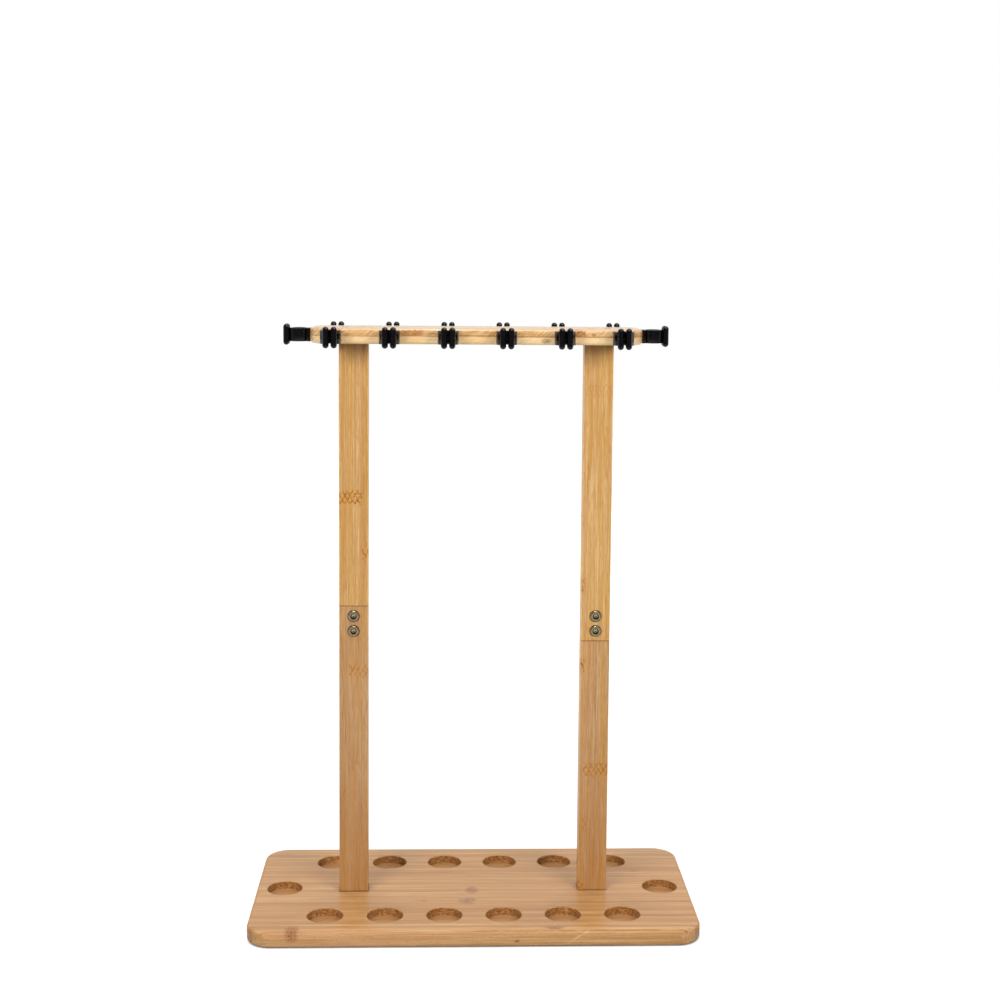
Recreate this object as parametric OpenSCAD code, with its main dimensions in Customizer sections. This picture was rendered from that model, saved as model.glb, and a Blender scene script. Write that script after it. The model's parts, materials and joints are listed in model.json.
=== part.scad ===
// Bamboo rod rack: a base board with rod pockets, two jointed posts, and a top rail with rod clips.
// Millimetres. X runs along the rack, Y from front to back, Z up. The origin is at the middle of
// the base board's underside.

/* [Rod layout] */
// Rods along each long side
rods_per_side = 6; // [4:1:10]
// Distance between neighbouring pockets along a row
pocket_pitch = 57.5; // [50:0.5:80]
// Distance between neighbouring clips along the rail
clip_pitch = 55.7; // [50:0.1:80]

/* [Base board] */
// From the centre of the last pocket in a row to the end of the board
base_end = 73.25; // [68:0.25:110]
// Width of the board, front to back
base_w = 212; // [180:1:300]
// Thickness of the board
base_t = 16; // [14:0.5:30]
// Radius of the board's four corners, seen from above
base_corner_r = 24; // [8:1:40]
// Radius of the rounding along the board's upper and lower edges
base_edge_r = 3.5; // [1:0.25:6]

/* [Rod pockets] */
// Diameter of a pocket
pocket_d = 35; // [28:0.5:40]
// Depth of a pocket
pocket_depth = 8; // [5:0.5:11]
// Width of the bevel round a pocket's mouth
pocket_bevel = 0.6; // [0.2:0.1:1.5]
// From the board's long edge to the centres of the pockets along it
pocket_row_inset = 38.5; // [28:0.5:50]
// From the board's short edge to the centre of the pocket there
pocket_end_inset = 28; // [24:0.5:34]

/* [Posts] */
// Width of a post, along the rack
post_w = 28.5; // [26:0.5:50]
// Depth of a post, front to back
post_d = 19; // [16:0.5:40]
// Height of a whole post, from the base board to the top rail
post_h = 550; // [400:1:900]
// From the end of the rail to the centre line of the post
post_inset = 41.5; // [36:0.5:80]
// Radius along a post's upright edges
post_edge_r = 0.8; // [0.3:0.1:2]
// Height of a post's lower half, from the base board to the end of its tongue
lower_post_h = 290.5; // [200:0.5:380]
// Height of the half lap that joins a post's halves
lap_h = 35; // [32:0.5:60]
// Gap at the end of each tongue of the lap
lap_gap = 0.3; // [0.1:0.1:1]

/* [Top rail] */
// From the centre of the last clip on a long side to the end of the rail
rail_end = 21.75; // [19:0.25:50]
// Width of the rail, front to back
rail_w = 64; // [58:1:110]
// Thickness of the rail
rail_t = 15; // [12:0.5:25]
// Radius of the rail's four corners, seen from above
rail_corner_r = 22; // [6:0.5:24]
// Radius of the rounding along the rail's upper and lower edges
rail_edge_r = 3; // [1:0.25:4]

/* [Rod clips] */
// Height of a clip's ring and back plate
clip_h = 13; // [10:0.5:20]
// Diameter of the ring's inside
clip_bore_d = 14; // [10:0.5:18]
// Wall of the ring
clip_wall = 3; // [2:0.1:4]
// From the back of a clip to the inside of its ring
clip_back_wall = 4.5; // [4:0.1:8]
// Width of a clip's back plate
clip_plate_w = 18; // [14:0.5:24]
// Thickness of a clip's back plate
clip_plate_t = 2.8; // [2:0.1:3.5]
// Width of the neck between the back plate and the ring
clip_neck_w = 13; // [9:0.5:14]
// Diameter of the two upright lips at a clip's mouth
lip_d = 6; // [5:0.1:8]
// Height of a lip, over its domed ends
lip_h = 20.5; // [16:0.5:30]
// Gap between the lips
lip_gap = 1.7; // [0.2:0.1:3]
// From the front of the ring to the centre line of the lips
lip_stand_off = 2.3; // [1:0.1:4]

/* [Clip screws] */
// Diameter of a clip screw's shank
clip_screw_d = 3; // [2.5:0.1:4]
// Diameter of a clip screw's countersunk head
clip_screw_head_d = 6.2; // [5.5:0.1:8]
// Length of a clip screw
clip_screw_l = 20; // [14:1:26]
// Depth of the screw's head below the inside of the ring
clip_screw_sink = 0.4; // [0.2:0.1:1]

/* [Lap bolts] */
// Diameter of a lap bolt's shank
bolt_d = 6; // [5:0.5:7]
// Length of a lap bolt's shank
bolt_l = 15; // [12:0.5:15]
// Outer diameter of the sleeve that the bolt threads into
sleeve_d = 8; // [7.5:0.1:10]
// Length of the sleeve
sleeve_l = 14; // [12:0.5:14]
// Diameter of the heads of the bolt and of the sleeve
bolt_head_d = 12; // [11:0.5:14]
// Diameter of a head's flat rim, inside its bevel
bolt_rim_d = 9.5; // [9:0.1:10.5]
// Height of a head
bolt_head_h = 2; // [1.5:0.1:3]
// Width across the flats of the hexagonal socket
bolt_socket_w = 6; // [4:0.5:6.5]
// Depth of the hexagonal socket
bolt_socket_depth = 1.5; // [1:0.1:2.5]
// Distance between the two bolts of a lap
bolt_pitch = 15; // [14:0.5:18]

/* [Wood screws] */
// Diameter of the shanks of the screws in the posts' ends
wood_screw_d = 4; // [3:0.1:5]
// Diameter of their countersunk heads
wood_screw_head_d = 8; // [7:0.1:10]
// Length of the screws through the top rail
rail_screw_l = 40; // [30:1:60]
// Length of the screws through the base board
base_screw_l = 45; // [35:1:60]
// Distance between the two screws in the top of a post
rail_screw_pitch = 16; // [11:0.5:17]
// Distance between the two screws in the foot of a post
base_screw_pitch = 14; // [11:0.5:17]
// Depth of a wood screw's head below the surface
wood_screw_sink = 0.3; // [0.1:0.1:1]

/* [Fits] */
// Running gap between a clip's back and the rail, so that the clip can swivel
clip_back_gap = 0.1; // [0.1:0.05:0.4]
// Clearance round a clip's screw, on the radius
clip_screw_fit = 0.05; // [0.02:0.01:0.1]
// Clearance round the screws and bolts that stay still, on the radius
fixed_fit = 0.05; // [0.02:0.01:0.2]

/* [Hidden] */
$fn = 96;
eps = 0.01;
// Slope of a countersunk head's cone: radius lost for each millimetre of depth
countersink_slope = 1;
// Length of a wood screw's point, in shank diameters
screw_point = 1.5;
// Depth of a screw head's cross, and the width and length of its slots, in head diameters
cross_depth = 0.2;
cross_slot_w = 0.14;
cross_slot_l = 0.55;
// Height of the short upright wall at the foot of a bolt head's bevel
bolt_head_lip = 0.4;
// Depth of the cone that a drill leaves under a hexagonal socket, and its width in socket widths
socket_point = 0.6;
socket_point_w = 0.8;
// Room past the end of a bolt in its sleeve
sleeve_end_room = 1.5;

BAMBOO = [0.80, 0.61, 0.40];
BAMBOO_POST = [0.78, 0.56, 0.32];
BLACK = [0.07, 0.07, 0.08];
YELLOW_ZINC = [0.66, 0.57, 0.36];
DARK_STEEL = [0.20, 0.18, 0.17];

SIDES = ["left", "right"];
HEIGHTS = ["lower", "upper"];
COUNT = [for (i = [1:rods_per_side]) i];

base_l = (rods_per_side - 1) * pocket_pitch + 2 * base_end;
rail_l = (rods_per_side - 1) * clip_pitch + 2 * rail_end;
rail_z = base_t + post_h;
rail_top = rail_z + rail_t;
clip_z = rail_z + rail_t / 2;
post_x = rail_l / 2 - post_inset;
pocket_row_y = base_w / 2 - pocket_row_inset;
pocket_end_x = base_l / 2 - pocket_end_inset;
pocket_floor = base_t - pocket_depth;
lap_top = base_t + lower_post_h;
lap_bottom = lap_top - lap_h;
lap_mid = (lap_top + lap_bottom) / 2;
ring_y = clip_back_wall + clip_bore_d / 2;
ring_r = clip_bore_d / 2 + clip_wall;
lip_x = (lip_gap + lip_d) / 2;
lip_y = ring_y + ring_r + lip_stand_off;
clip_screw_top = clip_back_wall - clip_screw_sink;
// How far a clip screw's countersink is opened into the ring, past the ring's curved wall
clip_screw_open = clip_bore_d / 4;

// Places of what repeats
function side_sign(s) = s == "left" ? -1 : 1;
function pair_sign(n) = n == 1 ? -1 : 1;
function place_along(i, pitch) = (i - (rods_per_side + 1) / 2) * pitch;
function bolt_z(h) = lap_mid + (h == "lower" ? -1 : 1) * bolt_pitch / 2;

// Outline of a board's edge: flat on the left, rounded above and below on the right
module rim_section(reach, t, edge_r) {
    square([reach - edge_r, t]);
    translate([0, edge_r]) square([reach, t - 2 * edge_r]);
    for (z = [edge_r, t - edge_r]) translate([reach - edge_r, z]) circle(edge_r);
}

// A board that lies on z = 0, with rounded corners and rounded edges
module rounded_board(l, w, t, corner_r, edge_r) {
    corner_x = l / 2 - corner_r;
    corner_y = w / 2 - corner_r;
    translate([-corner_x, 0, 0]) rotate([90, 0, 90]) linear_extrude(2 * corner_x) {
        rim_section(w / 2, t, edge_r);
        mirror([1, 0]) rim_section(w / 2, t, edge_r);
    }
    for (sx = [0, 1]) mirror([sx, 0, 0]) {
        translate([corner_x, corner_y, 0]) rotate([90, 0, 0])
            linear_extrude(2 * corner_y) rim_section(corner_r, t, edge_r);
        for (sy = [0, 1]) mirror([0, sy, 0]) translate([corner_x, corner_y, 0])
            rotate_extrude(angle = 90) rim_section(corner_r, t, edge_r);
    }
}

// A blind pocket for a rod's butt, cut down from the board's top
module pocket_cut() {
    translate([0, 0, pocket_floor]) cylinder(d = pocket_d, h = pocket_depth + 1);
    translate([0, 0, base_t - pocket_bevel])
        cylinder(d1 = pocket_d, d2 = pocket_d + 2 * (pocket_bevel + eps), h = pocket_bevel + eps);
}

// Outline of a countersunk screw with its head's top at y = 0 and its point downwards
function screw_outline(d, head_d, length, fit) = [
    [0, -length - fit],
    [d / 2 + fit, -length + screw_point * d - fit],
    [d / 2 + fit, -(head_d - d) / 2 / countersink_slope],
    [head_d / 2 + fit, 0],
    [0, 0]
];

// The screw itself, with a cross in its head
module screw(d, head_d, length) {
    difference() {
        rotate_extrude() polygon(screw_outline(d, head_d, length, 0));
        for (turn = [0, 90]) rotate([0, 0, turn])
            cube([cross_slot_l * head_d, cross_slot_w * head_d, 2 * cross_depth * head_d], center = true);
    }
}

// The hole for that screw, opened above its head by the depth that the head is sunk
module screw_hole(d, head_d, length, fit, open) {
    rotate_extrude() polygon(screw_outline(d, head_d, length, fit));
    translate([0, 0, -eps]) cylinder(r = head_d / 2 + fit, h = open + 2 * eps);
}

module rail_screw_places() {
    for (s = [-1, 1], n = [-1, 1])
        translate([s * post_x + n * rail_screw_pitch / 2, 0, rail_top - wood_screw_sink]) children();
}

module base_screw_places() {
    for (s = [-1, 1], n = [-1, 1])
        translate([s * post_x + n * base_screw_pitch / 2, 0, wood_screw_sink]) mirror([0, 0, 1]) children();
}

// Moves a clip or its screw, drawn on the Y axis, to a side of the rail
module on_front(i) {
    translate([place_along(i, clip_pitch), -rail_w / 2, clip_z]) rotate([0, 0, 180]) children();
}

module on_back(i) {
    translate([place_along(i, clip_pitch), rail_w / 2, clip_z]) children();
}

module on_end(s) {
    translate([side_sign(s) * rail_l / 2, 0, clip_z]) rotate([0, 0, -90 * side_sign(s)]) children();
}

module base_board() {
    color(BAMBOO) difference() {
        rounded_board(base_l, base_w, base_t, base_corner_r, base_edge_r);
        for (i = COUNT, s = [-1, 1])
            translate([place_along(i, pocket_pitch), s * pocket_row_y, 0]) pocket_cut();
        for (s = [-1, 1]) translate([s * pocket_end_x, 0, 0]) pocket_cut();
        base_screw_places()
            screw_hole(wood_screw_d, wood_screw_head_d, base_screw_l, fixed_fit, wood_screw_sink);
    }
}

module top_rail() {
    color(BAMBOO) difference() {
        translate([0, 0, rail_z]) rounded_board(rail_l, rail_w, rail_t, rail_corner_r, rail_edge_r);
        rail_screw_places()
            screw_hole(wood_screw_d, wood_screw_head_d, rail_screw_l, fixed_fit, wood_screw_sink);
        for (i = COUNT) {
            on_front(i) clip_screw_hole();
            on_back(i) clip_screw_hole();
        }
        for (s = SIDES) on_end(s) clip_screw_hole();
    }
}

// A length of post standing on z = bottom
module post_bar(bottom, top) {
    inner_w = post_w - 2 * post_edge_r;
    inner_d = post_d - 2 * post_edge_r;
    translate([0, 0, bottom]) linear_extrude(top - bottom) {
        square([post_w, inner_d], center = true);
        square([inner_w, post_d], center = true);
        for (x = [-1, 1], y = [-1, 1]) translate([x * inner_w / 2, y * inner_d / 2]) circle(post_edge_r);
    }
}

// The half of the post's depth that is cut away beside a tongue; side -1 is the front, 1 the back
module lap_cut(side, bottom, top) {
    translate([-post_w / 2 - 1, side < 0 ? -post_d / 2 - 1 : 0, bottom])
        cube([post_w + 2, post_d / 2 + 1, top - bottom]);
}

module lap_bolt_holes() {
    for (h = HEIGHTS) translate([0, 0, bolt_z(h)]) rotate([90, 0, 0])
        cylinder(r = sleeve_d / 2 + fixed_fit, h = post_d + 2, center = true);
}

// The left post's lower half has its tongue in front, the right post's has it behind
module lower_post(s) {
    color(BAMBOO_POST) difference() {
        translate([side_sign(s) * post_x, 0, 0]) difference() {
            post_bar(base_t, lap_top);
            lap_cut(-side_sign(s), lap_bottom, lap_top + 1);
            lap_bolt_holes();
        }
        base_screw_places()
            screw_hole(wood_screw_d, wood_screw_head_d, base_screw_l, fixed_fit, wood_screw_sink);
    }
}

module upper_post(s) {
    color(BAMBOO_POST) difference() {
        translate([side_sign(s) * post_x, 0, 0]) difference() {
            post_bar(lap_bottom + lap_gap, rail_z);
            lap_cut(side_sign(s), lap_bottom - 1, lap_top + lap_gap);
            lap_bolt_holes();
        }
        rail_screw_places()
            screw_hole(wood_screw_d, wood_screw_head_d, rail_screw_l, fixed_fit, wood_screw_sink);
    }
}

// Outline of a clip from above: the rail's edge is at y = 0 and the mouth points along +Y
module clip_outline() {
    difference() {
        union() {
            translate([-clip_plate_w / 2, clip_back_gap]) square([clip_plate_w, clip_plate_t]);
            translate([-clip_neck_w / 2, clip_back_gap]) square([clip_neck_w, clip_back_wall]);
            translate([0, ring_y]) circle(ring_r);
            translate([-lip_x, ring_y]) square([2 * lip_x, lip_y - ring_y]);
            for (x = [-lip_x, lip_x]) translate([x, lip_y]) circle(lip_d / 2);
        }
        translate([0, ring_y]) circle(d = clip_bore_d);
        translate([-lip_gap / 2, ring_y]) square([lip_gap, lip_y + lip_d]);
    }
}

// A lip: an upright rod with domed ends
module lip() {
    straight = lip_h - lip_d;
    cylinder(d = lip_d, h = straight, center = true);
    for (z = [-straight / 2, straight / 2]) translate([0, 0, z]) sphere(d = lip_d);
}

module clip_screw_hole() {
    translate([0, clip_screw_top, 0]) rotate([-90, 0, 0])
        screw_hole(clip_screw_d, clip_screw_head_d, clip_screw_l, clip_screw_fit, clip_screw_open);
}

module rod_clip() {
    color(BLACK) difference() {
        union() {
            linear_extrude(clip_h, center = true) clip_outline();
            for (x = [-lip_x, lip_x]) translate([x, lip_y, 0]) lip();
        }
        clip_screw_hole();
    }
}

module clip_screw() {
    color(DARK_STEEL) translate([0, clip_screw_top, 0]) rotate([-90, 0, 0])
        screw(clip_screw_d, clip_screw_head_d, clip_screw_l);
}

// The bevelled head that the bolt and the sleeve share, below z = 0, with its hexagonal socket
module socket_head() {
    difference() {
        rotate_extrude() polygon([
            [0, 0],
            [bolt_head_d / 2, 0],
            [bolt_head_d / 2, -bolt_head_lip],
            [bolt_rim_d / 2, -bolt_head_h],
            [0, -bolt_head_h]
        ]);
        socket_cut();
    }
}

module socket_cut() {
    translate([0, 0, -bolt_head_h - 1])
        cylinder(d = bolt_socket_w / cos(30), h = bolt_socket_depth + 1, $fn = 6);
    translate([0, 0, bolt_socket_depth - bolt_head_h - eps])
        cylinder(d1 = socket_point_w * bolt_socket_w, d2 = 0, h = socket_point);
}

module lap_bolt(s, h) {
    color(YELLOW_ZINC) translate([side_sign(s) * post_x, -post_d / 2, bolt_z(h)]) rotate([-90, 0, 0]) {
        socket_head();
        difference() {
            cylinder(d = bolt_d, h = bolt_l);
            socket_cut();
        }
    }
}

module lap_sleeve(s, h) {
    color(YELLOW_ZINC) translate([side_sign(s) * post_x, post_d / 2, bolt_z(h)]) rotate([90, 0, 0]) {
        socket_head();
        difference() {
            cylinder(d = sleeve_d, h = sleeve_l);
            translate([0, 0, post_d - bolt_l - sleeve_end_room])
                cylinder(r = bolt_d / 2 + fixed_fit, h = sleeve_l);
            socket_cut();
        }
    }
}

module rail_screw(s, n) {
    screw_x = side_sign(s) * post_x + pair_sign(n) * rail_screw_pitch / 2;
    color(DARK_STEEL) translate([screw_x, 0, rail_top - wood_screw_sink])
        screw(wood_screw_d, wood_screw_head_d, rail_screw_l);
}

module base_screw(s, n) {
    screw_x = side_sign(s) * post_x + pair_sign(n) * base_screw_pitch / 2;
    color(DARK_STEEL) translate([screw_x, 0, wood_screw_sink]) mirror([0, 0, 1])
        screw(wood_screw_d, wood_screw_head_d, base_screw_l);
}

base_board();
top_rail();
for (s = SIDES) {
    lower_post(s);
    upper_post(s);
    on_end(s) rod_clip();
    on_end(s) clip_screw();
    for (h = HEIGHTS) {
        lap_bolt(s, h);
        lap_sleeve(s, h);
    }
    for (n = [1, 2]) {
        rail_screw(s, n);
        base_screw(s, n);
    }
}
for (i = COUNT) {
    on_front(i) rod_clip();
    on_back(i) rod_clip();
    on_front(i) clip_screw();
    on_back(i) clip_screw();
}
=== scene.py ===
"""A bamboo rod rack on a pale floor: finishes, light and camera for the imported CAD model, in metres."""
import json
import math

import bpy
from mathutils import Matrix, Vector

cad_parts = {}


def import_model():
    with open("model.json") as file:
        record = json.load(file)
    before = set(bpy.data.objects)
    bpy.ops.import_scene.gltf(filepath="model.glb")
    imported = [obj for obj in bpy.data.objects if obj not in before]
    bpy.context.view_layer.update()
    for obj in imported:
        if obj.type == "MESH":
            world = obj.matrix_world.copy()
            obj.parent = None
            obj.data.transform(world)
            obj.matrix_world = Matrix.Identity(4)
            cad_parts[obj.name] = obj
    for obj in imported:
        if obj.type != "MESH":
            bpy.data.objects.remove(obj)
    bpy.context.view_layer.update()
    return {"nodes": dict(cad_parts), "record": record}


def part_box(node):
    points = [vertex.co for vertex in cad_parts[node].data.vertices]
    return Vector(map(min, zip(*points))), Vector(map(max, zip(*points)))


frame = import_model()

MM = 0.001
X, Y, Z = range(3)
LEFT, RIGHT = -1, 1
LOWER, UPPER = 0, 1


def mm(*values):
    return tuple(v * MM for v in values)


def box(node):
    """A CAD node's lowest and highest corner at rest, to a hundredth of a millimetre."""
    return [[round(c, 5) for c in corner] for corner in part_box(node)]


def middle(node, axis):
    low, high = box(node)
    return (low[axis] + high[axis]) / 2


# Places and sizes that the frame gives
BASE_HALF_X, BASE_HALF_Y, BASE_TOP = box("base_board")[1]
POST_X = middle("lower_post_right", X)
POST_HALF_W = box("lower_post_right")[1][X] - POST_X
POST_HALF_D = box("lower_post_right")[1][Y]
RAIL_GLUE_Z = middle("top_rail", Z)
BOLTS_Z = [middle(f"lap_bolt_right_{height}", Z) for height in ("lower", "upper")]
LAP_Z = sum(BOLTS_Z) / 2
BOLT_OFF_Z = BOLTS_Z[1] - LAP_Z
LAP_HALF_H = box("lower_post_right")[1][Z] - LAP_Z
POCKETS = [mount["pos_m"] for mount in frame["record"]["mounts"] if mount["name"].startswith("pocket_")]
POCKET_FLOOR = POCKETS[0][Z]

# Sizes that the frame doesn't give: the base's corner, and a pocket's radius with its bevel and a little more
BASE_CORNER = 0.024
POCKET_REACH = 0.0185

# The strips that the wood is glued from: how many plies a post's depth has, where the boards' strips start,
# how wide these are, and the most that a strip's fibres are shifted along it
POST_PLIES = 3
BASE_STRIP_Y, BASE_STRIP_W = 0.0009, 0.0062
RAIL_STRIP_Y, RAIL_STRIP_W = 0.0007, 0.0215
STRIP_SHIFT = 3

# Light levels of the surroundings: on the rack, and as the rack mirrors them from its front and its back
AMBIENT, DIM, BRIGHT = 0.15, 0.15, 0.9


def srgb(r, g, b):
    """A colour written as it looks on a screen, from 0 to 255, as linear values with alpha."""
    def linear(c):
        c /= 255
        return c / 12.92 if c <= 0.04045 else ((c + 0.055) / 1.055) ** 2.4
    return linear(r), linear(g), linear(b), 1.0


def grey(level):
    return level, level, level, 1.0


class Nodes:
    """Adds nodes to a node tree; each call gives back the socket that holds its result."""

    def __init__(self, tree):
        self.nodes, self.links = tree.nodes, tree.links

    def add(self, kind, inputs=(), **settings):
        """A shader node; its inputs are a list in order, or a dict by name, of sockets and values."""
        node = self.nodes.new("ShaderNode" + kind)
        for key, value in settings.items():
            setattr(node, key, value)
        pairs = inputs.items() if isinstance(inputs, dict) else enumerate(inputs)
        for key, value in pairs:
            if isinstance(value, bpy.types.NodeSocket):
                self.links.new(value, node.inputs[key])
            else:
                node.inputs[key].default_value = value
        return node

    def calc(self, operation, *values):
        return self.add("Math", values, operation=operation).outputs[0]

    def plus(self, a, b):
        return self.calc("ADD", a, b)

    def minus(self, a, b):
        return self.calc("SUBTRACT", a, b)

    def times(self, a, b):
        return self.calc("MULTIPLY", a, b)

    def most(self, a, b):
        return self.calc("MAXIMUM", a, b)

    def size(self, a):
        return self.calc("ABSOLUTE", a)

    def radius(self, a, b):
        return self.calc("SQRT", self.plus(self.times(a, a), self.times(b, b)))

    def weighed(self, *pairs):
        """The sum of values, each times its weight."""
        total = 0.0
        for value, weight in pairs:
            total = self.plus(total, self.times(value, weight))
        return total

    def split(self, vector):
        return self.add("SeparateXYZ", [vector]).outputs

    def vector(self, x, y, z):
        return self.add("CombineXYZ", [x, y, z]).outputs[0]

    def step(self, value, low, high, to_low=0.0, to_high=1.0):
        """A smooth step of value between low and high."""
        inputs = [value, low, high, to_low, to_high]
        return self.add("MapRange", inputs, interpolation_type="SMOOTHSTEP").outputs[0]

    def between(self, value, low, high, soft):
        """One inside low to high and nothing outside, with soft edges."""
        rise = self.step(value, low - soft, low + soft)
        fall = self.step(value, high + soft, high - soft)
        return self.times(rise, fall)

    def strips(self, value, start, width):
        """A strip's number, and how near its edge the value lies: 0 in the middle, 0.5 at the edge."""
        place = self.calc("DIVIDE", self.minus(value, start), width)
        return self.calc("FLOOR", place), self.size(self.minus(self.calc("FRACT", place), 0.5))

    def noise(self, vector, scale=1.0, detail=2.0, rough=0.5, warp=0.0):
        return self.add("TexNoise", {"Vector": vector, "Scale": scale, "Detail": detail, "Roughness": rough,
                                     "Distortion": warp}).outputs[0]

    def grain(self, *ways, detail=2.0, rough=0.5, warp=0.0):
        """Noise over three ways: each is a coordinate with its scale, or a plain number."""
        place = [self.times(*way) if isinstance(way, tuple) else way for way in ways]
        return self.noise(self.vector(*place), 1.0, detail, rough, warp)

    def random(self, x, y, z):
        return self.add("TexWhiteNoise", {"Vector": self.vector(x, y, z)}, noise_dimensions="3D").outputs[0]

    def mix(self, factor, a, b, blend="MIX"):
        return self.add("Mix", {0: factor, 6: a, 7: b}, data_type="RGBA", blend_type=blend).outputs[2]

    def paint(self, colour, mask, amount, shade):
        """A colour with a shade over it where the mask is one, by the amount; the shade is as on a screen."""
        return self.mix(self.times(mask, amount), colour, srgb(*shade))

    def ramp(self, value, stops):
        node = self.add("ValToRGB", [value])
        marks = node.color_ramp.elements
        while len(marks) < len(stops):
            marks.new(0.5)
        for mark, (position, colour) in zip(marks, stops):
            mark.position, mark.color = position, colour
        return node.outputs[0]

    def palette(self, value, shades, places=(0.36, 0.46, 0.54, 0.64)):
        return self.ramp(value, [(place, srgb(*shade)) for place, shade in zip(places, shades)])


class Material(Nodes):
    """A material's nodes, with the place on a piece and its normal in the frame's own directions."""

    def __init__(self, name):
        self.material = bpy.data.materials.new(name)
        self.material.use_nodes = True
        super().__init__(self.material.node_tree)
        self.nodes.clear()
        self.out = self.add("OutputMaterial")
        where = self.add("TexCoord").outputs
        self.place = where["Object"]
        self.x, self.y, self.z = self.split(self.place)
        self.nx, self.ny, self.nz = self.split(where["Normal"])

    def spot(self, centre, reach, ragged=0.35, rim_scale=900):
        """A mask of an oval mark with a ragged rim: centre and reach are in millimetres."""
        off = self.add("VectorMath", [self.place, mm(*centre)], operation="SUBTRACT").outputs[0]
        per_reach = tuple(1 / (r * MM) for r in reach)
        scaled = self.add("VectorMath", [off, per_reach], operation="MULTIPLY").outputs[0]
        away = self.add("VectorMath", [scaled], operation="LENGTH").outputs[1]
        broken = self.noise(self.place, rim_scale, 3, 0.6)
        return self.step(self.plus(away, self.times(self.minus(broken, 0.5), 2 * ragged)), 1.0, 0.45)

    def finish(self, bump, strength, height, **inputs):
        """The finished material, with the bump as its relief; inputs are the shader's own."""
        shader = self.add("BsdfPrincipled", {k.replace("_", " "): v for k, v in inputs.items()})
        relief = self.add("Bump", {"Strength": strength, "Distance": height, "Height": bump})
        self.links.new(relief.outputs[0], shader.inputs["Normal"])
        self.links.new(shader.outputs[0], self.out.inputs[0])
        return self.material


# Bamboo
def fibres(m, along, across, through, seed, short=1.0, bend=0.0012, curl=0.0):
    """Bamboo's fibres along the grain: a broad drift, bands, streaks, fine lines and short dark dashes.

    The fibres sway from side to side by bend in long waves, and by curl in shorter ones.
    """
    def place(stretch, scale):
        return m.vector(m.plus(m.times(along, stretch), seed), m.times(across, scale),
                        m.times(through, scale))

    def sway(stretch, scale, detail, reach):
        return m.times(m.minus(m.noise(place(stretch, scale), 1.0, detail), 0.5), reach)

    def drawn(stretch, width, detail, rough):
        return m.noise(place(stretch * short, 1 / width), 1.0, detail, rough)

    across = m.plus(across, sway(16, 40, 1, bend))
    if curl:
        across = m.plus(across, sway(55, 130, 2, curl))
    broad = drawn(5, 0.017, 2, 0.5)
    band = drawn(8, 0.0046, 2, 0.55)
    streak = drawn(12, 0.0014, 2, 0.6)
    line = drawn(48, 0.0007, 3, 0.65)
    dash = m.step(drawn(80, 0.0005, 1, 0.5), 0.58, 0.68)
    return broad, band, streak, line, dash


def crossed(m, along, across, pitch=0.0050):
    """Thin crossing strokes, broken here and there, which a bamboo joint leaves in a planed strip."""
    stir = m.grain((along, 330), (across, 330), 0.0, rough=0.6)
    across = m.calc("DIVIDE", m.plus(across, m.times(m.minus(stir, 0.5), 0.0052)), pitch)
    lean = m.calc("DIVIDE", along, pitch * 1.7)
    lines = 0.0
    for sign, seed in (("ADD", 2.0), ("SUBTRACT", 9.0)):
        off = m.size(m.minus(m.calc("FRACT", m.calc(sign, across, lean)), 0.5))
        drawn = m.grain((along, 460), (across, 1.3), seed, rough=0.6)
        lines = m.most(lines, m.times(m.step(off, 0.20, 0.07), m.step(drawn, 0.41, 0.51)))
    return lines


def node_band(m, along, across, centre, reach):
    """A bamboo joint across a strip: its band, and its crossed strokes, which fade out on both sides."""
    stir = m.grain((along, 160), (across, 300), centre * 100, detail=3, rough=0.6)
    away = m.plus(m.size(m.minus(along, centre)), m.times(m.minus(stir, 0.5), reach * 1.5))
    inside = m.step(away, reach, reach * 0.5)
    return inside, m.times(inside, crossed(m, along, across))


# Posts, by side and half. A seam is where two strips meet, in millimetres to the right of the post's middle.
# A joint is its left and right end from there, its height and its reach up and down, all in millimetres, and
# how strong it is. Shades go from dark to pale
POST_SEAMS = {(LEFT, UPPER): 8.5, (LEFT, LOWER): -4.4, (RIGHT, UPPER): -10.5, (RIGHT, LOWER): -10.5}
POST_JOINTS = {
    (LEFT, UPPER): ((-15, 8.5, 414, 8.6, 1.0), (8.5, 15, 361, 8.6, 0.9)),
    (LEFT, LOWER): ((-4.4, 15, 242, 8.6, 0.55), (-15, -6, 118, 8.6, 0.3)),
    (RIGHT, UPPER): ((-15, -10.5, 327, 8.6, 0.9), (-10.5, 15, 520, 8.6, 0.25)),
    (RIGHT, LOWER): ((-15, -10.5, 247, 8.6, 0.9), (-10.5, 15, 141, 8.6, 0.8), (-10.5, -5.5, 84, 8.6, 0.6),
                     (-15, -9.4, 21.5, 6.4, 1.0)),
}
POST_SHADES = {
    (LEFT, UPPER): ((178, 125, 62), (205, 160, 93), (223, 182, 115), (244, 211, 154)),
    (RIGHT, UPPER): ((190, 139, 74), (217, 174, 106), (235, 196, 130), (250, 221, 167)),
    (LEFT, LOWER): ((158, 115, 70), (187, 148, 101), (204, 170, 126), (223, 196, 158)),
    (RIGHT, LOWER): ((169, 125, 75), (197, 158, 108), (214, 179, 132), (232, 204, 165)),
}

# Behind this y the strips' joints stand higher up than in front, by the second value
JOINTS_BACK_Y, JOINTS_BACK_RISE = 0.0025, 0.064


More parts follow.
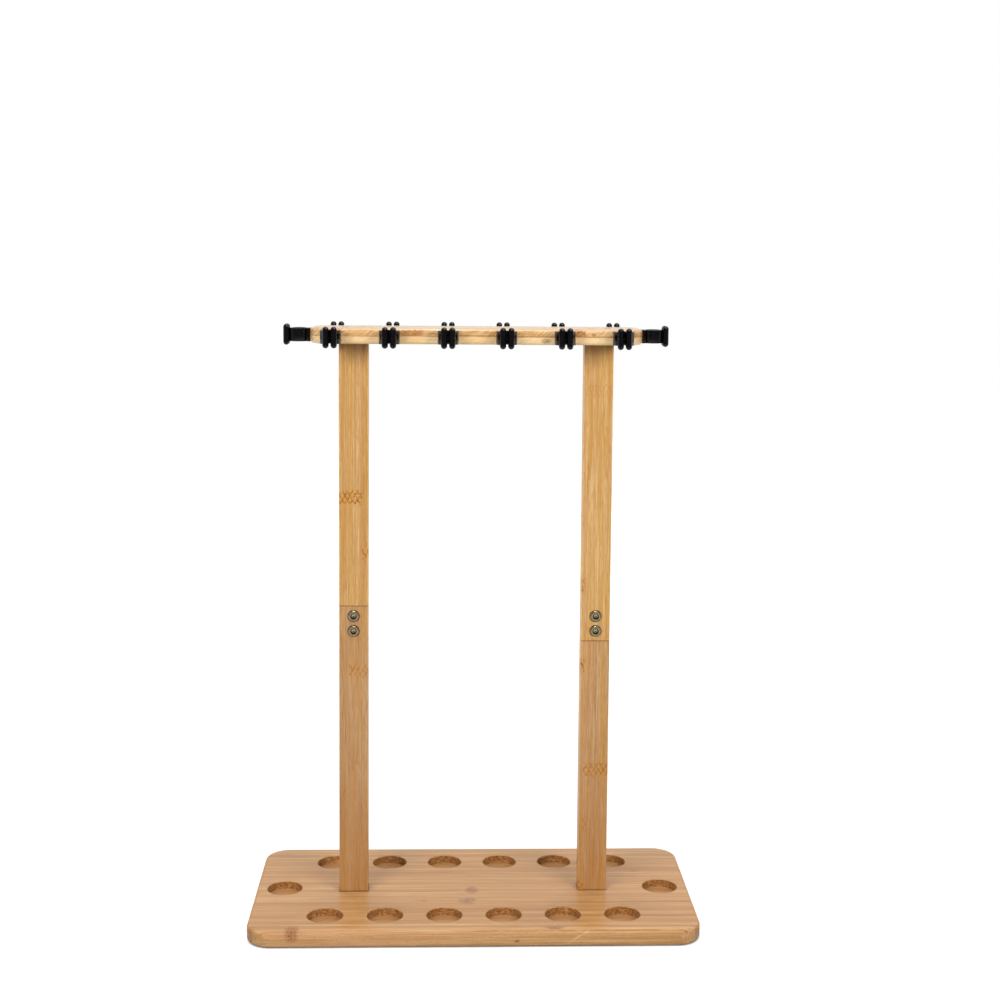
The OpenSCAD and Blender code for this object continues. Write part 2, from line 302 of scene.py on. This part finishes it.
def post_material(name, side, half):
    """One half of a post: its strips and plies, fibres, joints, the lap's seam, and painted shade that
    darkens the foot.
    """
    m = Material(name)
    u = m.minus(m.x, side * POST_X)
    seam_x = POST_SEAMS[side, half] * MM
    ply, ply_edge = m.strips(m.y, -POST_HALF_D, POST_HALF_D * 2 / POST_PLIES)
    strip = m.plus(m.calc("GREATER_THAN", u, seam_x), 10.0 * side + 3 * half)
    tone = m.random(strip, ply, 4.0)
    shifted = m.plus(m.z, m.times(tone, STRIP_SHIFT))
    seed = 11.0 + 5 * side + 2 * half
    broad, band, streak, line, dash = fibres(m, shifted, m.x, m.y, seed, bend=0.004, curl=0.0022)
    value = m.weighed((broad, 0.15), (band, 0.06), (streak, 0.34), (line, 0.45))
    value = m.plus(value, m.times(m.minus(tone, 0.5), 0.05))
    colour = m.palette(value, POST_SHADES[side, half], (0.37, 0.46, 0.54, 0.64))
    pink = m.grain((shifted, 3), (m.x, 420), (m.y, 420))
    colour = m.paint(colour, m.step(pink, 0.48, 0.64), 0.6, (206, 152, 106))
    gold = m.grain((shifted, 7), (m.x, 600), (m.y, 600), detail=1)
    colour = m.paint(colour, m.step(gold, 0.54, 0.66), 0.7, (216, 164, 66))
    colour = m.paint(colour, dash, 0.40, (144, 92, 42))
    seam = m.most(m.step(m.size(m.minus(u, seam_x)), 0.0005, 0.0001), m.step(ply_edge, 0.486, 0.499))
    colour = m.paint(colour, seam, 0.45, (126, 80, 38))

    across = m.plus(m.x, m.y)
    height = m.minus(m.z, m.times(m.calc("GREATER_THAN", m.y, JOINTS_BACK_Y), JOINTS_BACK_RISE))
    marks = glow = 0.0
    for low, high, z, reach, strength in POST_JOINTS[side, half]:
        on_strip = m.times(m.between(u, low * MM, high * MM, 0.0004), strength)
        joint, strokes = node_band(m, height, across, z * MM, reach * MM)
        glow = m.most(glow, m.times(joint, on_strip))
        marks = m.most(marks, m.times(strokes, on_strip))
    colour = m.paint(colour, glow, 0.40, (192, 134, 56))
    colour = m.paint(colour, marks, 0.95, (136, 80, 22))

    # The lower half's tongue, which ends higher up, is in front on the left post and behind on the right one
    behind = m.minus(m.times(m.calc("GREATER_THAN", m.y, 0.0), 2.0), 1.0)
    tongue_end = m.plus(m.times(behind, side * LAP_HALF_H), LAP_Z)
    lap_seam = m.step(m.size(m.minus(m.z, tongue_end)), 0.0007, 0.0002)
    colour = m.paint(colour, lap_seam, 0.6, (118, 66, 36))
    # Painted shade: the lower half darkens towards its foot, and a painted contact shadow lines its bottom
    # edge on the base
    if half == LOWER:
        colour = m.paint(colour, m.step(m.z, 0.24, 0.03), 0.42, (158, 104, 54))
        colour = m.paint(colour, m.step(m.z, BASE_TOP + 0.0016, BASE_TOP + 0.0002), 0.6, (96, 58, 28))
    end_grain = m.step(m.size(m.nz), 0.6, 0.9)
    colour = m.paint(colour, end_grain, 0.5, (120, 80, 46))
    relief = m.minus(m.weighed((line, 0.5), (streak, 0.4)), m.weighed((seam, 0.8), (marks, 0.3)))
    rough = m.plus(m.step(line, 0.3, 0.7, 0.36, 0.50), m.times(marks, 0.1))
    return m.finish(relief, 0.30, 0.0003, Base_Color=colour, Roughness=rough, Specular_IOR_Level=0.45)


# Marks on the boards: centre and reach in millimetres, and how strong each is
BASE_JOINTS = (
    ((-173, -101, 13), (9, 12, 10.5), 1.0), ((40, -106, 6.3), (3.2, 3, 2.0), 1.0),
    ((76, -99.5, 16), (9, 4, 3), 0.9), ((110, 62, 16), (9, 5, 4), 0.5), ((-120, 90, 16), (9, 5, 4), 0.6),
    ((168, 40, 16), (7, 4, 4), 0.4), ((-187, -17, 8), (7, 7, 1.5), 0.5), ((190, -10, 8), (9, 9, 1.5), 0.6),
    ((130, 106, 8), (7, 4, 6), 0.8), ((-60, 106, 9), (7, 4, 6), 0.8), ((217, 30, 8), (4, 9, 6), 0.6),
    ((-217, -20, 8), (4, 9, 6), 0.6),
)
BASE_STAINS = (
    ((-1.5, -7.7, 16), (8, 11, 3), 1.0), ((-6, -33.8, 16), (11, 10, 3), 0.85),
    ((-49, -34, 16), (4, 4, 3), 0.45), ((75, -98, 16), (15, 5, 3), 0.45), ((30, -60, 16), (20, 3, 3), 0.25),
)
RAIL_JOINTS = (
    ((-54, -32, 578), (4, 6, 5), 0.5), ((66, -32, 570), (6, 5, 3.4), 0.8), ((112, -32, 576), (3, 6, 3), 0.8),
    ((-40, -32, 577), (5, 6, 3), 0.6), ((-156, -32, 575), (5, 6, 4), 0.5), ((150, -28, 577), (6, 6, 3), 0.7),
    ((20, 32, 577), (12, 6, 3), 0.8), ((-95, 32, 570), (8, 5, 3), 0.6),
)
RAIL_STAINS = (
    ((-64, -32, 577), (15, 6, 4.2), 0.9), ((-60, -32, 577), (3, 6, 4.4), 1.0),
    ((-50, -32, 577), (13, 6, 4.0), 0.35), ((97, -32, 578), (9, 6, 4.6), 1.0),
    ((102.5, -32, 577), (2.2, 6, 4), 1.0), ((-20, -32, 577.4), (16, 6, 2.2), 0.5),
    ((40, -32, 578), (20, 6, 2.5), 0.3), ((-30, 8, 581), (16, 3, 2), 0.4), ((92, -12, 581), (14, 3, 2), 0.4),
    ((30, 32, 576), (18, 6, 3), 0.6),
)

# Scratches on the base's front face: x and z of both ends, in millimetres
BASE_SCRATCHES = ((88, 3.5, 108, 15.5), (94, 8, 100, 11.5))

# The boards' shades from dark to pale; the rail's upper ply has more contrast than its lower one
BASE_SHADES = ((146, 100, 56), (169, 123, 74), (182, 138, 89), (201, 160, 114))
RAIL_LOWER_SHADES = ((208, 164, 110), (226, 191, 138), (236, 207, 158), (243, 222, 184))
RAIL_UPPER_SHADES = ((148, 95, 44), (187, 142, 84), (211, 175, 124), (230, 207, 172))

# How far apart the rail's slanting slashes are, and the scallops between its plies
SLASH_PITCH, SCALLOP_PITCH = 0.0023, 0.0034


def marked(m, colour, joints, stains, streak, stain_shade):
    """Colour with the joints' crossed strokes and the streaky stains, and the mask of both."""
    strokes = crossed(m, m.x, m.plus(m.y, m.z), 0.0036)
    mottle = m.grain((m.x, 420), (m.y, 300), (m.z, 700), detail=3, rough=0.7, warp=0.6)
    drawn = m.times(m.step(streak, 0.36, 0.54), m.step(mottle, 0.40, 0.58))
    stain = knot = 0.0
    for centre, reach, strength in stains:
        stain = m.most(stain, m.times(m.spot(centre, reach, 0.5, 420), strength))
    stain = m.times(stain, m.plus(m.times(drawn, 0.70), 0.30))
    for centre, reach, strength in joints:
        knot = m.most(knot, m.times(m.spot(centre, reach), strength))
    knot = m.times(knot, m.plus(m.times(strokes, 0.6), 0.4))
    colour = m.paint(colour, stain, 0.95, stain_shade)
    colour = m.paint(colour, knot, 0.95, (122, 66, 30))
    return colour, m.most(knot, m.times(stain, 0.4))


def scratches_mask(m):
    """The two scratches on the base's front face."""
    mask = 0.0
    for x0, z0, x1, z1 in (mm(*ends) for ends in BASE_SCRATCHES):
        length = math.hypot(x1 - x0, z1 - z0)
        side_x, side_z = -(z1 - z0) / length, (x1 - x0) / length
        off = m.plus(m.times(m.minus(m.x, x0), side_x), m.times(m.minus(m.z, z0), side_z))
        scratch = m.times(m.step(m.size(off), 0.0004, 0.0001), m.between(m.x, x0, x1, 0.001))
        mask = m.most(mask, m.times(scratch, m.calc("LESS_THAN", m.y, 0.006 - BASE_HALF_Y)))
    return mask


def base_material():
    """The base board: fine strips along it, pocket walls darkened by painted shade, worn edges and two
    scratches in front.
    """
    m = Material("bamboo_base_board")
    strip, strip_edge = m.strips(m.y, BASE_STRIP_Y, BASE_STRIP_W)
    tone = m.random(strip, 0.0, 3.0)
    shifted = m.plus(m.x, m.times(tone, STRIP_SHIFT))
    broad, band, streak, line, dash = fibres(m, shifted, m.y, m.z, 11.1, short=0.6)
    value = m.weighed((broad, 0.10), (band, 0.20), (streak, 0.42), (line, 0.28))
    value = m.plus(value, m.times(m.minus(tone, 0.5), 0.10))
    colour = m.palette(value, BASE_SHADES)
    pink = m.grain((shifted, 4), (m.y, 90), (m.z, 90))
    colour = m.paint(colour, m.step(pink, 0.50, 0.70), 0.3, (184, 134, 96))
    colour = m.paint(colour, dash, 0.30, (132, 84, 44))
    seam = m.step(strip_edge, 0.460, 0.499)
    colour = m.paint(colour, seam, 0.26, (120, 76, 40))

    # Specks on the upright faces, and a paler worn line round the top edge
    upright = m.step(m.nz, 0.75, 0.35)
    speck = m.step(m.grain((m.x, 420), (m.y, 1300), (m.z, 1300), rough=0.6), 0.52, 0.64)
    colour = m.paint(colour, m.times(speck, upright), 0.28, (140, 90, 46))
    rims = [m.between(m.size(way), half - 0.003, half - 0.001, 0.0006)
            for way, half in ((m.y, BASE_HALF_Y), (m.x, BASE_HALF_X))]
    worn = m.times(m.most(*rims), m.calc("GREATER_THAN", m.z, BASE_TOP / 2))
    colour = m.paint(colour, worn, 0.08, (212, 170, 122))
    colour, marks = marked(m, colour, BASE_JOINTS, BASE_STAINS, streak, (118, 74, 60))

    # A dark line along the right half of the front's top edge, broken here and there
    line_y = 0.0017 - BASE_HALF_Y
    edge_line = m.times(m.between(m.y, line_y - 0.0005, line_y + 0.0005, 0.0004), m.step(m.x, -0.03, 0.01))
    broken = m.step(m.grain((m.x, 70), (m.y, 400), 0.0), 0.36, 0.50)
    edge_line = m.times(m.times(edge_line, broken), m.calc("GREATER_THAN", m.z, BASE_TOP * 0.75))
    colour = m.paint(colour, edge_line, 0.55, (132, 80, 36))
    scratches = scratches_mask(m)
    colour = m.paint(colour, scratches, 0.55, (226, 190, 146))

    # Painted contact shadow round the posts' feet
    beside_post = m.minus(m.size(m.minus(m.size(m.x), POST_X)), POST_HALF_W)
    posts_foot_shadow = m.step(m.most(beside_post, m.minus(m.size(m.y), POST_HALF_D)), 0.0012, 0.0003)
    colour = m.paint(colour, posts_foot_shadow, 0.7, (84, 50, 26))

    # The pockets' walls, which a drill has left rough, with end-grain rings darkened by painted shade, and
    # their floors, a little darker
    half_x, half_y = (max(pocket[axis] for pocket in POCKETS) + POCKET_REACH for axis in (X, Y))
    inner = m.times(m.calc("LESS_THAN", m.size(m.x), half_x), m.calc("LESS_THAN", m.size(m.y), half_y))
    wall = m.times(m.times(inner, m.step(m.size(m.nz), 0.5, 0.2)), m.step(m.z, 0.0004, 0.001))
    low = m.step(m.z, POCKET_FLOOR + 0.0005, POCKET_FLOOR + 0.0001)
    pocket_floor = m.times(m.times(inner, low), m.step(m.z, POCKET_FLOOR - 0.0002, POCKET_FLOOR - 0.0001))
    rings = m.grain((m.x, 260), (m.y, 700), (m.z, 700), detail=3, rough=0.6)
    wall_grain_and_shade = m.palette(rings, ((98, 60, 27), (138, 90, 46), (186, 136, 84)), (0.35, 0.5, 0.66))
    colour = m.mix(m.times(wall, 0.85), colour, wall_grain_and_shade)
    colour = m.paint(colour, pocket_floor, 0.55, (168, 124, 82))

    relief = m.weighed((line, 0.5), (streak, 0.4), (m.times(wall, rings), 0.8))
    relief = m.minus(relief, m.weighed((seam, 0.5), (marks, 0.3), (scratches, 0.5), (edge_line, 0.3)))
    rough = m.plus(m.step(line, 0.3, 0.7, 0.30, 0.42), m.weighed((marks, 0.1), (worn, 0.3)))
    return m.finish(relief, 0.25, 0.0003, Base_Color=colour, Roughness=rough, Specular_IOR_Level=0.5)


def rail_material():
    """The top rail: a golden ply over a paler one, both with slanting figure, and the line between them."""
    m = Material("bamboo_top_rail")
    upper = m.calc("GREATER_THAN", m.z, RAIL_GLUE_Z)
    strip, strip_edge = m.strips(m.y, RAIL_STRIP_Y, RAIL_STRIP_W)
    tone = m.random(strip, upper, 8.0)
    shifted = m.plus(m.x, m.times(tone, STRIP_SHIFT))
    broad, band, streak, line, dash = fibres(m, shifted, m.y, m.z, 29.7)
    slant = m.minus(m.x, m.times(m.z, 1.1))
    upright = m.step(m.size(m.nz), 0.8, 0.5)
    figure = m.grain((slant, 780), (m.y, 60), (m.z, 110), rough=0.6)
    figure = m.plus(m.times(m.minus(figure, 0.5), m.plus(m.times(upright, 0.98), 0.02)), 0.5)
    value = m.weighed((broad, 0.14), (band, 0.12), (streak, 0.24), (line, 0.12), (figure, 0.38))
    value = m.plus(value, m.times(m.minus(tone, 0.5), 0.03))
    colour = m.mix(upper, m.palette(value, RAIL_LOWER_SHADES),
                   m.palette(value, RAIL_UPPER_SHADES, (0.38, 0.46, 0.53, 0.61)))
    pink = m.grain((shifted, 4), (m.y, 90), (m.z, 90))
    colour = m.paint(colour, m.step(pink, 0.50, 0.70), 0.2, (220, 158, 110))
    colour = m.paint(colour, dash, 0.25, (150, 96, 46))
    seam = m.step(strip_edge, 0.489, 0.499)
    colour = m.paint(colour, seam, 0.40, (120, 76, 40))

    # Slanting dark slashes on the upright faces, in patches
    patch = m.grain((m.x, 34), (m.y, 20), 5.0, detail=1)
    stir = m.grain((m.x, 300), (m.z, 300), 1.0)
    slash = m.calc("FRACT", m.plus(m.calc("DIVIDE", slant, SLASH_PITCH), m.times(stir, 1.6)))
    slash = m.times(m.step(m.size(m.minus(slash, 0.5)), 0.26, 0.06), m.step(patch, 0.42, 0.54))
    slash_shade = m.mix(upper, srgb(206, 150, 86), srgb(160, 98, 44))
    colour = m.mix(m.times(m.times(slash, upright), 0.60), colour, slash_shade)

    # Between the plies a scalloped line in some patches, and a plain glue line in others
    wave = m.size(m.calc("SINE", m.calc("DIVIDE", m.x, SCALLOP_PITCH / math.pi)))
    height = m.minus(m.z, RAIL_GLUE_Z + 0.0005)
    scallop = m.step(m.size(m.minus(height, m.times(wave, 0.0011))), 0.0006, 0.0002)
    scallop = m.times(m.times(scallop, upright), m.step(patch, 0.50, 0.58))
    colour = m.paint(colour, scallop, 0.85, (160, 98, 42))
    glue = m.step(m.size(m.minus(m.z, RAIL_GLUE_Z + 0.0002)), 0.0006, 0.0002)
    glue = m.times(glue, m.step(patch, 0.56, 0.44))
    colour = m.paint(colour, glue, 0.65, (150, 92, 40))
    colour, marks = marked(m, colour, RAIL_JOINTS, RAIL_STAINS, streak, (140, 72, 6))
    end_grain = m.step(m.size(m.nx), 0.6, 0.9)
    colour = m.paint(colour, end_grain, 0.35, (186, 132, 78))

    relief = m.minus(m.weighed((line, 0.5), (streak, 0.4)), m.weighed((seam, 0.5), (marks, 0.3), (glue, 0.6)))
    rough = m.plus(m.step(line, 0.3, 0.7, 0.15, 0.25), m.times(marks, 0.1))
    return m.finish(relief, 0.12, 0.0003, Base_Color=colour, Roughness=rough, Specular_IOR_Level=0.5)


# Plastic and metal
def plastic_material():
    """Glossy black moulded plastic with a parting line, faint flow marks and rubbed places."""
    m = Material("clip_plastic_moulded")
    flow = m.grain((m.x, 260), (m.y, 260), (m.z, 90), detail=3, warp=0.8)
    pores = m.noise(m.place, 2600, 2, 0.5)
    rubbed = m.step(m.noise(m.place, 420, 4, 0.65), 0.58, 0.72)
    colour = m.ramp(flow, [(0.3, (0.0008, 0.0008, 0.0016, 1)), (0.7, (0.0024, 0.0024, 0.0040, 1))])
    colour = m.mix(m.times(rubbed, 0.5), colour, (0.010, 0.010, 0.013, 1))
    parting = m.step(m.size(m.minus(m.z, RAIL_GLUE_Z)), 0.00022, 0.00008)
    relief = m.weighed((flow, 0.3), (pores, 0.03), (parting, 0.5))
    rough = m.plus(m.weighed((flow, 0.08), (rubbed, 0.10), (parting, 0.10)), 0.04)
    return m.finish(relief, 0.2, 0.0002, Base_Color=colour, Roughness=rough, Specular_IOR_Level=0.40)


# Shades across a bolt's head, by the distance from its middle in centimetres, with painted light: the
# socket's drilled point, its walls dark with painted shade, a painted highlight on the rim round it, the
# head's face, a painted highlight where the face turns into the bevel, and the bevel dark as a painted
# reflection
BOLT_SHADES_AND_PAINTED_LIGHT = {
    0.03: (150, 148, 84), 0.11: (226, 222, 146), 0.19: (166, 164, 90), 0.235: (26, 26, 16),
    0.32: (34, 32, 20), 0.345: (236, 224, 172), 0.385: (176, 156, 144), 0.45: (146, 122, 110),
    0.50: (206, 186, 134), 0.55: (108, 82, 50), 0.60: (50, 36, 24),
}


def zinc_material():
    """Yellow zinc plating: purple-grey rim, greenish gold socket, turning marks; painted dark bevel, shade
    and highlights.
    """
    m = Material("bolt_zinc_plated")
    u = m.minus(m.size(m.x), POST_X)
    v = m.minus(m.size(m.minus(m.z, LAP_Z)), BOLT_OFF_Z)
    radius = m.radius(u, v)
    drift = m.noise(m.place, 330, 3, 0.6, 0.5)
    ring = m.plus(m.times(radius, 100), m.times(m.minus(drift, 0.5), 0.05))
    # The shades hold painted light: shade in the socket, highlights on the rims and a dark reflection on the
    # bevel
    colour = m.palette(ring, BOLT_SHADES_AND_PAINTED_LIGHT.values(), BOLT_SHADES_AND_PAINTED_LIGHT)
    tint = m.palette(drift, ((255, 214, 170), (255, 255, 255), (214, 206, 255)), (0.3, 0.5, 0.7))
    colour = m.mix(0.55, colour, m.mix(1.0, colour, tint, "MULTIPLY"))
    turned = m.grain((radius, 9000), (m.y, 200), 0.0)
    pits = m.step(m.noise(m.place, 1500, 3, 0.6), 0.6, 0.7)
    colour = m.paint(colour, pits, 0.4, (60, 44, 30))
    rough = m.plus(m.step(turned, 0.3, 0.7, 0.18, 0.30), m.times(pits, 0.2))
    relief = m.minus(m.times(turned, 0.4), m.times(pits, 0.5))
    return m.finish(relief, 0.25, 0.0001, Base_Color=colour, Roughness=rough, Metallic=1.0, Coat_Weight=1.0,
                    Coat_Roughness=0.06)


def screw_material():
    """Black oxide steel, worn grey where a driver has rubbed it."""
    m = Material("screw_black_oxide")
    patch = m.noise(m.place, 700, 4, 0.6)
    colour = m.palette(patch, ((38, 34, 32), (62, 56, 52), (112, 104, 98)), (0.35, 0.55, 0.72))
    rough = m.step(patch, 0.3, 0.7, 0.5, 0.32)
    return m.finish(m.noise(m.place, 2400, 3), 0.25, 0.0001, Base_Color=colour, Roughness=rough, Metallic=1.0)


# Finishes of the CAD nodes
def starting(*heads):
    """The names of the CAD nodes that start in one of these ways."""
    return [name for name in frame["nodes"] if name.startswith(heads)]


def dress(material, *names):
    """Gives CAD nodes a material in every slot."""
    for name in names:
        for slot in frame["nodes"][name].material_slots:
            slot.material = material


for side, side_word in ((LEFT, "left"), (RIGHT, "right")):
    for half, half_word in ((LOWER, "lower"), (UPPER, "upper")):
        post = f"{half_word}_post_{side_word}"
        dress(post_material("bamboo_" + post, side, half), post)
dress(base_material(), "base_board")
dress(rail_material(), "top_rail")
dress(plastic_material(), *starting("rod_clip_"))
dress(zinc_material(), *starting("lap_bolt_", "lap_sleeve_"))
dress(screw_material(), *starting("clip_screw_", "rail_screw_", "base_screw_"))


# Smooth shading up to an angle, and a small round on moulded and turned edges from another angle on
SMOOTH_UP_TO, ROUND_FROM = math.radians(28), math.radians(40)
EDGE_ROUND = 0.0004


def smooth_group(angle):
    """A node group that shades faces smooth, and leaves the edges sharp that turn by more than the angle."""
    group = bpy.data.node_groups.new("smooth_by_angle", "GeometryNodeTree")
    group.interface.new_socket("Geometry", in_out="INPUT", socket_type="NodeSocketGeometry")
    group.interface.new_socket("Geometry", in_out="OUTPUT", socket_type="NodeSocketGeometry")
    make, link = group.nodes.new, group.links.new
    start, end = make("NodeGroupInput"), make("NodeGroupOutput")
    edge = make("GeometryNodeInputMeshEdgeAngle")
    sharp = make("FunctionNodeCompare")
    sharp.operation = "GREATER_THAN"
    sharp.inputs[1].default_value = angle
    faces, edges = make("GeometryNodeSetShadeSmooth"), make("GeometryNodeSetShadeSmooth")
    faces.domain, edges.domain = "FACE", "EDGE"
    edges.inputs["Shade Smooth"].default_value = False
    link(start.outputs[0], faces.inputs["Geometry"])
    link(faces.outputs[0], edges.inputs["Geometry"])
    link(edge.outputs["Unsigned Angle"], sharp.inputs[0])
    link(sharp.outputs[0], edges.inputs["Selection"])
    link(edges.outputs[0], end.inputs[0])
    return group


def round_edges(piece):
    bevel = piece.modifiers.new("round", "BEVEL")
    bevel.width = EDGE_ROUND
    bevel.segments = 2
    bevel.limit_method = "ANGLE"
    bevel.angle_limit = ROUND_FROM
    bevel.use_clamp_overlap = True


smoothing = smooth_group(SMOOTH_UP_TO)
SHINY = starting("rod_clip_", "lap_bolt_", "lap_sleeve_")
for name, piece in frame["nodes"].items():
    piece.modifiers.new("weld", "WELD").merge_threshold = 1e-6
    if name in SHINY:
        round_edges(piece)
    piece.modifiers.new("smooth", "NODES").node_group = smoothing


# Surroundings: they look white to the camera, and the rack mirrors them darker in front and brighter behind
def seen_white(n, mirror_level):
    """The strength at which a surface looks white, but is mirrored at a level of its own."""
    ray = n.add("LightPath").outputs
    mirrored = n.times(ray["Is Glossy Ray"], mirror_level)
    return n.most(n.most(ray["Is Camera Ray"], mirrored), ray["Is Transmission Ray"])


def floor():
    """A pale disc that keeps the rack's shadow: a little less white near by, and a painted contact shadow
    under the base.
    """
    bpy.ops.mesh.primitive_circle_add(vertices=96, radius=4.0, fill_type="NGON", location=(0, 0, -0.0002))
    disc = bpy.context.object
    disc.name = "floor"
    m = Material("floor_white")
    pale = m.ramp(m.noise(m.place, 60, 3), [(0.3, grey(0.32)), (0.7, grey(0.36))])
    diffuse = m.add("BsdfDiffuse", [pale]).outputs[0]
    level = m.step(m.radius(m.x, m.y), 0.5, 1.2, 0.78, 1.0)
    # The glow fades out under the base's edge: a painted contact shadow along the base's foot
    out_x = m.most(m.minus(m.size(m.x), BASE_HALF_X - BASE_CORNER), 0.0)
    out_y = m.most(m.minus(m.size(m.y), BASE_HALF_Y - BASE_CORNER), 0.0)
    beside_base = m.minus(m.radius(out_x, out_y), BASE_CORNER)
    level = m.times(level, m.step(beside_base, -0.004, 0.0015))
    strength = m.times(seen_white(m, m.step(m.y, -0.2, 0.3, DIM, BRIGHT)), level)
    glow = m.add("Emission", {"Color": grey(1.0), "Strength": strength}).outputs[0]
    both = m.add("AddShader", [diffuse, glow]).outputs[0]
    m.links.new(both, m.out.inputs[0])
    disc.data.materials.append(m.material)


def world():
    """A white world, which lights the rack at a low and even level."""
    studio = bpy.data.worlds.new("studio")
    bpy.context.scene.world = studio
    studio.use_nodes = True
    n = Nodes(studio.node_tree)
    backwards = n.split(n.add("TexCoord").outputs["Generated"])[Y]
    strength = n.most(seen_white(n, n.step(backwards, -0.3, 0.3, DIM, BRIGHT)), AMBIENT)
    background = studio.node_tree.nodes["Background"]
    background.inputs["Color"].default_value = grey(1.0)
    n.links.new(strength, background.inputs["Strength"])


def lamp(name, place, target, size, power, lights=True, mirrored=False, only=()):
    """An area lamp that lights surfaces, is mirrored in them, or both, on all pieces or only on the named."""
    data = bpy.data.lights.new(name, "AREA")
    data.shape = "RECTANGLE"
    data.size, data.size_y = size
    data.energy = power
    thing = bpy.data.objects.new(name, data)
    bpy.context.scene.collection.objects.link(thing)
    thing.location = place
    aim = Vector(target) - Vector(place)
    thing.rotation_euler = aim.to_track_quat("-Z", "Y").to_euler()
    thing.visible_diffuse, thing.visible_glossy = lights, mirrored
    if only:
        reached = bpy.data.collections.new(name + "_reaches")
        for piece in only:
            reached.objects.link(frame["nodes"][piece])
        thing.light_linking.receiver_collection = reached


floor()
world()
lamp("overhead", (0.0, -0.3, 3.0), (0, 0, 0.0), (1.4, 1.2), 32, mirrored=True)
for word, side in (("left", -0.95), ("right", 1.0)):
    lamp("front_" + word, (side, -1.5, 1.08), (0, 0, 0.42), (0.9, 0.62), 25.5)
for word, side in (("left", -1.2), ("right", 1.2)):
    lamp("behind_" + word, (side, 1.6, 1.1), (0, 0, 0.35), (1.0, 1.0), 17)
lamp("glint", (0.8, -1.6, 2.2), (0, 0, 0.45), (1.0, 0.8), 45, lights=False, mirrored=True, only=SHINY)


# Camera at the photograph's viewing angle: tilted down, with its picture shifted a little. The focal length
# and the row of the optical centre are in pixels of a picture of this size
PICTURE_PX = 1000
FOCAL_PX, CENTRE_PX = 1612.26, 400
CAMERA_MM = (23.3624, -1573.92, 660)
YAW, ROLL, TILT = (math.radians(a) for a in (1.9583, 0.4668, 5.4406))


def camera():
    data = bpy.data.cameras.new("camera")
    data.sensor_width = 36
    data.lens = FOCAL_PX / PICTURE_PX * data.sensor_width
    data.shift_y = (CENTRE_PX - PICTURE_PX / 2) / PICTURE_PX
    data.clip_start, data.clip_end = 0.05, 30
    thing = bpy.data.objects.new("camera", data)
    bpy.context.scene.collection.objects.link(thing)
    turn = Matrix.Rotation(-YAW, 4, "Z")
    place = turn @ Vector(mm(*CAMERA_MM))
    thing.matrix_world = (Matrix.Translation(place) @ turn @ Matrix.Rotation(math.pi / 2 - TILT, 4, "X")
                          @ Matrix.Rotation(ROLL, 4, "Z"))
    bpy.context.scene.camera = thing


camera()
bpy.context.scene.view_settings.view_transform = "Standard"
